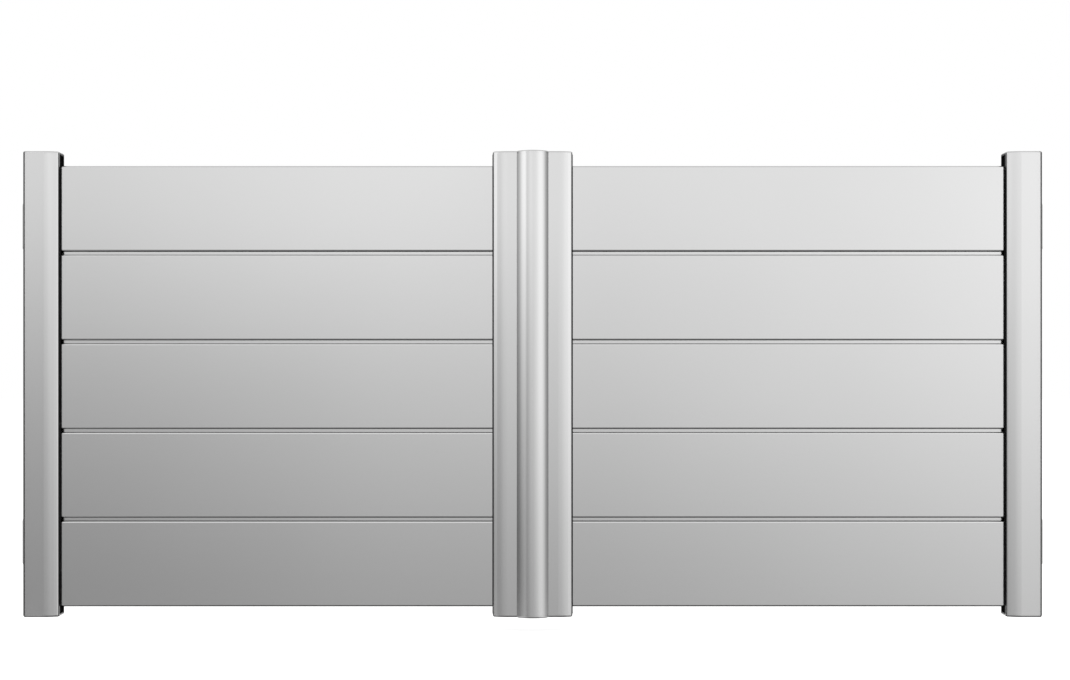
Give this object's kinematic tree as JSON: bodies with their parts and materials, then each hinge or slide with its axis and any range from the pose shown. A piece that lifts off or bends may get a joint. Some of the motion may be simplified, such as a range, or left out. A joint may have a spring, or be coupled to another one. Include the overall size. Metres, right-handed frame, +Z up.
{
  "type": "double-leaf aluminium swing gate",
  "caption": "Double-leaf driveway gate with wide horizontal boards between hollow stiles and a half-round cover over the middle gap, hung on bracket pins.",
  "frame": {"origin": "on the wall face of the left lower pillar bracket, at the middle of its plate", "axes": "+X along the closed gate to the right as seen from outside, +Y from the outside to the drive behind the gate, +Z up"},
  "size_m": [3.56, 0.172, 1.6],
  "materials": {
    "stile_silver": "satin silver",
    "board_silver": "satin silver",
    "cover_silver": "satin silver",
    "cap_silver": "satin silver",
    "seal_rubber": "matt black",
    "hinge_steel": "satin stainless steel"
  },
  "bodies": {
    "pillar_brackets": {"left_lower_pillar_bracket": "hinge_steel", "left_upper_pillar_bracket": "hinge_steel", "right_lower_pillar_bracket": "hinge_steel", "right_upper_pillar_bracket": "hinge_steel"},
    "left_leaf": {"left_hinge_stile": "stile_silver", "left_meeting_stile": "stile_silver", "left_board_1": "board_silver", "left_board_2": "board_silver", "left_board_3": "board_silver", "left_board_4": "board_silver", "left_board_5": "board_silver", "left_hinge_stile_top_cap": "cap_silver", "left_hinge_stile_bottom_cap": "cap_silver", "left_meeting_stile_top_cap": "cap_silver", "left_meeting_stile_bottom_cap": "cap_silver", "left_hinge_stile_channel_seal": "seal_rubber", "left_meeting_stile_channel_seal": "seal_rubber", "left_lower_hinge_eye": "hinge_steel", "left_upper_hinge_eye": "hinge_steel", "centre_cover": "cover_silver", "cover_top_cap": "cap_silver", "cover_bottom_cap": "cap_silver"},
    "right_leaf": {"right_hinge_stile": "stile_silver", "right_meeting_stile": "stile_silver", "right_board_1": "board_silver", "right_board_2": "board_silver", "right_board_3": "board_silver", "right_board_4": "board_silver", "right_board_5": "board_silver", "right_hinge_stile_top_cap": "cap_silver", "right_hinge_stile_bottom_cap": "cap_silver", "right_meeting_stile_top_cap": "cap_silver", "right_meeting_stile_bottom_cap": "cap_silver", "right_hinge_stile_channel_seal": "seal_rubber", "right_meeting_stile_channel_seal": "seal_rubber", "right_lower_hinge_eye": "hinge_steel", "right_upper_hinge_eye": "hinge_steel"}
  },
  "joints": [
    {"name": "left_leaf_swing", "type": "hinge", "parent": "pillar_brackets", "child": "left_leaf", "pos_m": [0.05, -0.025, 0], "axis": [0, 0, 1], "range_deg": [0, 90]},
    {"name": "right_leaf_swing", "type": "hinge", "parent": "pillar_brackets", "child": "right_leaf", "pos_m": [3.51, -0.025, 0], "axis": [0, 0, -1], "range_deg": [0, 97]}
  ],
  "couplings": [
    {"joint": "left_leaf_swing", "follows": "right_leaf_swing", "ratio": 0.9278}
  ]
}
